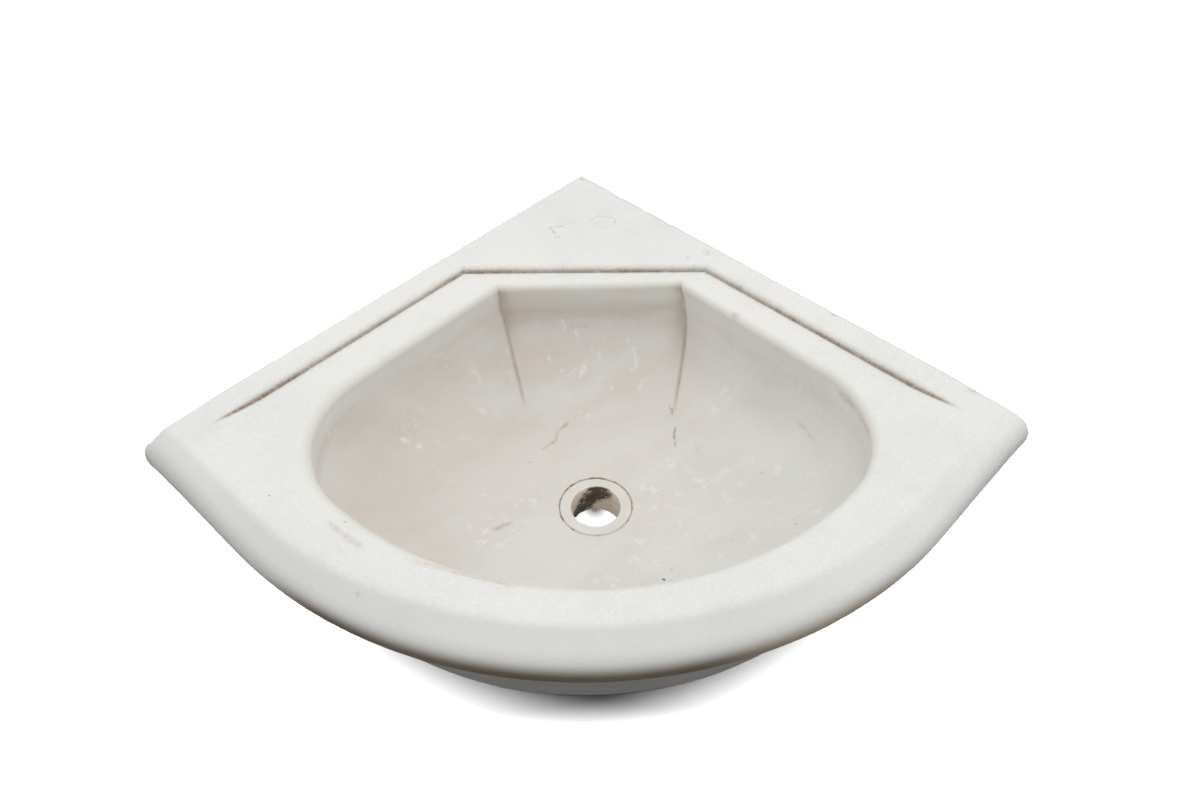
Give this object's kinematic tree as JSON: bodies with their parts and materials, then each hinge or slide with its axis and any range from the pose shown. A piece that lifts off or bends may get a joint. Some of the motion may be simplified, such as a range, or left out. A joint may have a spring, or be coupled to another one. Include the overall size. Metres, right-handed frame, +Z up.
{
  "type": "corner washbasin",
  "caption": "Corner washbasin carved from marble: square plan with a rounded rolled front, raised ledge along both walls, faceted bowl and an outlet with a let-in stone collar.",
  "frame": {"origin": "centre of the basin's bounding box, on the surface that it stands on", "axes": "+Z up, +Y towards the room corner, +X to the right seen from the front"},
  "size_m": [0.6944, 0.5456, 0.133],
  "materials": {
    "marble": "worn honed white marble with dirt in the carved lines",
    "collar_marble": "cleaner honed marble",
    "stained_putty": "matt putty with brown and green stains",
    "plug_marble": "worn honed marble",
    "lime_putty": "matt lime putty"
  },
  "bodies": {
    "root": {"basin": "marble", "outlet_collar": "collar_marble", "collar_bedding": "stained_putty", "ledge_plug": "plug_marble", "plug_bedding": "lime_putty"}
  },
  "joints": []
}
